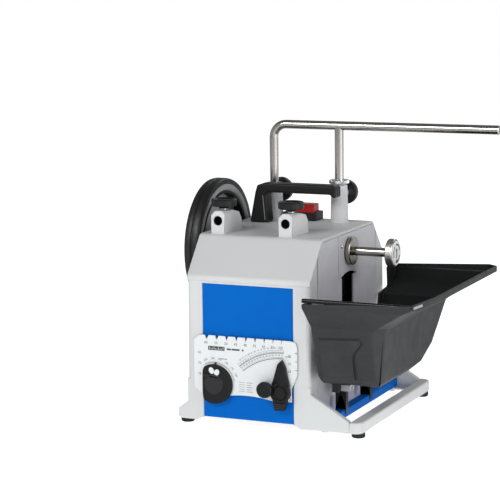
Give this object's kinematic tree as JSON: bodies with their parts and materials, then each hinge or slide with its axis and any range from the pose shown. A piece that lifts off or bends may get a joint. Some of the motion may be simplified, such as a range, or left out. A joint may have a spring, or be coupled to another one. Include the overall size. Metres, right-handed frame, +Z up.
{
  "type": "wet grinding sharpener",
  "caption": "Bench-top wet sharpening machine with a water trough, sliding tool support, honing wheel, carrying handle and front angle gauge.",
  "frame": {"origin": "on the bench, under the middle of the whole machine's bounding box", "axes": "+X along the arbor towards its free end and the trough, +Y to the back, +Z up"},
  "size_m": [0.39, 0.335, 0.377],
  "materials": {
    "cast_grey": "fine-textured satin powder coat, light grey",
    "panel_grey": "smooth satin paint, cool light grey",
    "panel_blue": "smooth satin paint, strong blue",
    "black_plastic": "fine-grained moulded black plastic",
    "trough_plastic": "charcoal moulded plastic with a fine grain",
    "knob_plastic": "satin black moulded plastic",
    "rubber": "matt black rubber",
    "tread_rubber": "black tread, polished by use",
    "stainless": "ground and polished stainless steel",
    "zinc": "bright zinc plate",
    "wheel_grey": "light grey cast wheel, machined rim",
    "red_plastic": "glossy red moulded plastic",
    "gauge_white": "white printed plastic sheet",
    "face_white": "white printed disc",
    "nylon": "natural nylon",
    "motor_iron": "laminated steel, lacquered",
    "motor_alloy": "die-cast alloy",
    "steel": "plain steel"
  },
  "bodies": {
    "housing": {"top_casting": "cast_grey", "front_frame": "cast_grey", "rear_frame": "cast_grey", "side_panel_right": "panel_grey", "side_panel_left": "panel_grey", "bearing_cover": "panel_grey", "frame_screws": "zinc", "front_panel": "panel_blue", "rear_panel": "panel_blue", "cord_gland": "black_plastic", "base_plate": "steel", "base_rail": "cast_grey", "base_strut": "panel_blue", "rubber_feet": "rubber", "foot_screws": "zinc", "carry_handle": "black_plastic", "handle_fixings": "steel", "switch_housing": "black_plastic", "switch_contact_block": "black_plastic", "switch_pin": "steel", "shaft_bush_right": "nylon", "shaft_bush_left": "nylon", "arbor_seal": "rubber", "motor_hanger": "steel", "motor_pivot_pin": "steel", "motor_capacitor": "motor_alloy", "capacitor_clip": "steel", "trough_arms": "cast_grey", "trough_forks": "black_plastic"},
    "arbor": {"main_shaft": "stainless", "flange_washer": "stainless", "honing_wheel_body": "wheel_grey", "honing_wheel_tread": "tread_rubber", "friction_liner": "rubber", "honing_wheel_nut": "knob_plastic"},
    "quick_nut": {"quick_nut": "stainless", "quick_nut_face": "face_white"},
    "motor": {"motor_stator": "motor_iron", "motor_end_shields": "motor_alloy", "motor_bearings": "steel", "motor_cradle": "steel"},
    "rotor": {"motor_rotor": "motor_iron", "motor_shaft": "steel", "motor_fan": "black_plastic"},
    "support": {"support_bar": "stainless", "support_bar_cap": "stainless"},
    "adjust_nut": {"micro_adjust_nut": "zinc"},
    "front_left_knob": {"clamp_knob_front_left": "knob_plastic"},
    "front_right_knob": {"clamp_knob_front_right": "knob_plastic"},
    "rear_left_knob": {"clamp_knob_rear_left": "knob_plastic"},
    "rear_right_knob": {"clamp_knob_rear_right": "knob_plastic"},
    "rocker": {"switch_rocker": "red_plastic"},
    "trough": {"water_trough": "trough_plastic"},
    "gauge": {"gauge_plate": "gauge_white", "gauge_magnets": "steel", "gauge_rivets": "steel"},
    "gauge_dial": {"gauge_dial": "black_plastic"},
    "gauge_pointer": {"gauge_pointer": "black_plastic"},
    "gauge_knob": {"gauge_knob": "knob_plastic"}
  },
  "joints": [
    {"name": "arbor_spin", "type": "hinge", "parent": "housing", "child": "arbor", "pos_m": [0.076, 0.0005, 0.215], "axis": [1, 0, 0], "continuous": true},
    {"name": "quick_nut_off", "type": "slide", "parent": "arbor", "child": "quick_nut", "axis": [1, 0, 0], "range_m": [0, 0.12]},
    {"name": "motor_swing", "type": "hinge", "parent": "housing", "child": "motor", "pos_m": [-0.081, 0.0805, 0.17544], "axis": [-1, 0, 0], "range_deg": [0, 2]},
    {"name": "rotor_spin", "type": "hinge", "parent": "motor", "child": "rotor", "pos_m": [-0.081, 0.0005, 0.15144], "axis": [1, 0, 0], "continuous": true},
    {"name": "support_lift", "type": "slide", "parent": "housing", "child": "support", "axis": [0, 0, 1], "range_m": [0, 0.08]},
    {"name": "adjust_nut_turn", "type": "hinge", "parent": "support", "child": "adjust_nut", "pos_m": [-0.0259, 0.0655, 0.292], "axis": [0, 0, 1], "continuous": true},
    {"name": "front_left_knob_turn", "type": "hinge", "parent": "housing", "child": "front_left_knob", "pos_m": [-0.1335, -0.0685, 0.272], "axis": [0, 0, 1], "range_deg": [0, 270]},
    {"name": "front_right_knob_turn", "type": "hinge", "parent": "housing", "child": "front_right_knob", "pos_m": [-0.0393, -0.0685, 0.272], "axis": [0, 0, 1], "range_deg": [0, 270]},
    {"name": "rear_left_knob_turn", "type": "hinge", "parent": "housing", "child": "rear_left_knob", "pos_m": [-0.1201, 0.0815, 0.28], "axis": [0, 1, 0], "range_deg": [0, 270]},
    {"name": "rear_right_knob_turn", "type": "hinge", "parent": "housing", "child": "rear_right_knob", "pos_m": [-0.0259, 0.0815, 0.28], "axis": [0, 1, 0], "range_deg": [0, 270]},
    {"name": "switch_rock", "type": "hinge", "parent": "housing", "child": "rocker", "pos_m": [-0.078, 0.0755, 0.249], "axis": [1, 0, 0], "range_deg": [-6, 6]},
    {"name": "trough_lift", "type": "slide", "parent": "housing", "child": "trough", "axis": [0, 0, 1], "range_m": [0, 0.03]},
    {"name": "gauge_off", "type": "slide", "parent": "housing", "child": "gauge", "axis": [0, -1, 0], "range_m": [0, 0.05]},
    {"name": "gauge_dial_turn", "type": "hinge", "parent": "gauge", "child": "gauge_dial", "pos_m": [-0.118, -0.1375, 0.0565], "axis": [0, -1, 0], "range_deg": [-60, 60]},
    {"name": "gauge_pointer_turn", "type": "hinge", "parent": "gauge", "child": "gauge_pointer", "pos_m": [-0.025, -0.1375, 0.0532], "axis": [0, -1, 0], "range_deg": [-5, 65]},
    {"name": "gauge_knob_turn", "type": "hinge", "parent": "gauge_pointer", "child": "gauge_knob", "pos_m": [-0.044, -0.1375, 0.0567], "axis": [0, -1, 0], "range_deg": [0, 180]}
  ],
  "couplings": [
    {"joint": "rotor_spin", "follows": "arbor_spin", "ratio": 15.455}
  ]
}
